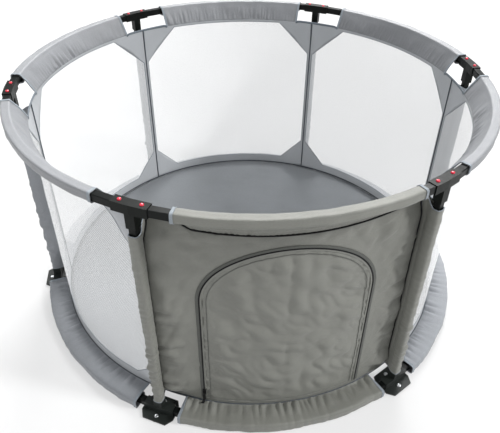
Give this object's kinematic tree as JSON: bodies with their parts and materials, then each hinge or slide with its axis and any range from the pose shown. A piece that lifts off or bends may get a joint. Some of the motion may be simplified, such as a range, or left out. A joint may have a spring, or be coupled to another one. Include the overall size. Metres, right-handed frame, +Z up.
{
  "type": "round playpen",
  "caption": "Round playpen: curved square-tube rim and base ring on posts, mesh and fabric walls, an arched zipped door and a fabric floor.",
  "frame": {"origin": "on the floor at the centre of the ring", "axes": "+Z up, the door faces -Y, +X to the right of someone facing +Y"},
  "size_m": [1.336, 1.2976, 0.6784],
  "materials": {
    "black_plastic": "moulded black plastic with a soft sheen",
    "black_tube": "black powder-coated steel tube",
    "red_button": "glossy red plastic",
    "grey_fabric": "warm grey woven polyester",
    "mesh_panel": "cool grey woven polyester round a fine white net window",
    "mat_fabric": "cool grey coated polyester",
    "zip_tape": "black coil zip on woven tape",
    "zip_metal": "black lacquered die-cast slider and pull"
  },
  "bodies": {
    "pen": {"top_tee_front_left": "black_plastic", "post_front_left": "black_tube", "base_foot_front_left": "black_plastic", "post_sleeve_front_left": "grey_fabric", "top_tee_front_right": "black_plastic", "post_front_right": "black_tube", "base_foot_front_right": "black_plastic", "post_sleeve_front_right": "grey_fabric", "top_tee_right": "black_plastic", "post_right": "black_tube", "base_foot_right": "black_plastic", "post_sleeve_right": "grey_fabric", "top_tee_back_right": "black_plastic", "post_back_right": "black_tube", "base_foot_back_right": "black_plastic", "post_sleeve_back_right": "grey_fabric", "top_tee_back_left": "black_plastic", "post_back_left": "black_tube", "base_foot_back_left": "black_plastic", "post_sleeve_back_left": "grey_fabric", "top_tee_left": "black_plastic", "post_left": "black_tube", "base_foot_left": "black_plastic", "post_sleeve_left": "grey_fabric", "top_rail_front": "black_tube", "bottom_rail_front": "black_tube", "panel_front": "grey_fabric", "top_rail_right_front": "black_tube", "bottom_rail_right_front": "black_tube", "panel_right_front": "mesh_panel", "top_rail_right_back": "black_tube", "bottom_rail_right_back": "black_tube", "panel_right_back": "mesh_panel", "top_rail_back": "black_tube", "bottom_rail_back": "black_tube", "panel_back": "mesh_panel", "top_rail_left_back": "black_tube", "bottom_rail_left_back": "black_tube", "panel_left_back": "mesh_panel", "top_rail_left_front": "black_tube", "bottom_rail_left_front": "black_tube", "panel_left_front": "mesh_panel", "zip_track": "zip_tape", "floor_mat": "mat_fabric"},
    "button_front_left_1": {"button_front_left_1": "red_button"},
    "button_front_left_2": {"button_front_left_2": "red_button"},
    "button_front_right_1": {"button_front_right_1": "red_button"},
    "button_front_right_2": {"button_front_right_2": "red_button"},
    "button_right_1": {"button_right_1": "red_button"},
    "button_right_2": {"button_right_2": "red_button"},
    "button_back_right_1": {"button_back_right_1": "red_button"},
    "button_back_right_2": {"button_back_right_2": "red_button"},
    "button_back_left_1": {"button_back_left_1": "red_button"},
    "button_back_left_2": {"button_back_left_2": "red_button"},
    "button_left_1": {"button_left_1": "red_button"},
    "button_left_2": {"button_left_2": "red_button"},
    "door": {"door_flap": "grey_fabric"},
    "zip_slider": {"zip_slider": "zip_metal"},
    "zip_pull": {"zip_pull": "zip_metal"}
  },
  "joints": [
    {"name": "press_front_left_1", "type": "slide", "parent": "pen", "child": "button_front_left_1", "axis": [0, 0, -1], "range_m": [0, 0.004], "stiffness_N_per_m": 800, "springref_m": -0.001},
    {"name": "press_front_left_2", "type": "slide", "parent": "pen", "child": "button_front_left_2", "axis": [0, 0, -1], "range_m": [0, 0.004], "stiffness_N_per_m": 800, "springref_m": -0.001},
    {"name": "press_front_right_1", "type": "slide", "parent": "pen", "child": "button_front_right_1", "axis": [0, 0, -1], "range_m": [0, 0.004], "stiffness_N_per_m": 800, "springref_m": -0.001},
    {"name": "press_front_right_2", "type": "slide", "parent": "pen", "child": "button_front_right_2", "axis": [0, 0, -1], "range_m": [0, 0.004], "stiffness_N_per_m": 800, "springref_m": -0.001},
    {"name": "press_right_1", "type": "slide", "parent": "pen", "child": "button_right_1", "axis": [0, 0, -1], "range_m": [0, 0.004], "stiffness_N_per_m": 800, "springref_m": -0.001},
    {"name": "press_right_2", "type": "slide", "parent": "pen", "child": "button_right_2", "axis": [0, 0, -1], "range_m": [0, 0.004], "stiffness_N_per_m": 800, "springref_m": -0.001},
    {"name": "press_back_right_1", "type": "slide", "parent": "pen", "child": "button_back_right_1", "axis": [0, 0, -1], "range_m": [0, 0.004], "stiffness_N_per_m": 800, "springref_m": -0.001},
    {"name": "press_back_right_2", "type": "slide", "parent": "pen", "child": "button_back_right_2", "axis": [0, 0, -1], "range_m": [0, 0.004], "stiffness_N_per_m": 800, "springref_m": -0.001},
    {"name": "press_back_left_1", "type": "slide", "parent": "pen", "child": "button_back_left_1", "axis": [0, 0, -1], "range_m": [0, 0.004], "stiffness_N_per_m": 800, "springref_m": -0.001},
    {"name": "press_back_left_2", "type": "slide", "parent": "pen", "child": "button_back_left_2", "axis": [0, 0, -1], "range_m": [0, 0.004], "stiffness_N_per_m": 800, "springref_m": -0.001},
    {"name": "press_left_1", "type": "slide", "parent": "pen", "child": "button_left_1", "axis": [0, 0, -1], "range_m": [0, 0.004], "stiffness_N_per_m": 800, "springref_m": -0.001},
    {"name": "press_left_2", "type": "slide", "parent": "pen", "child": "button_left_2", "axis": [0, 0, -1], "range_m": [0, 0.004], "stiffness_N_per_m": 800, "springref_m": -0.001},
    {"name": "door_fold", "type": "hinge", "parent": "pen", "child": "door", "pos_m": [0, -0.589, 0.044], "axis": [1, 0, 0], "range_deg": [0, 94]},
    {"name": "zip_run", "type": "slide", "parent": "pen", "child": "zip_slider", "axis": [0, 0, 1], "range_m": [0, 0.3]},
    {"name": "pull_swing", "type": "hinge", "parent": "zip_slider", "child": "zip_pull", "pos_m": [-0.20028, -0.5624, 0.075], "axis": [-0.942, 0.3355, 0], "range_deg": [0, 150]}
  ]
}
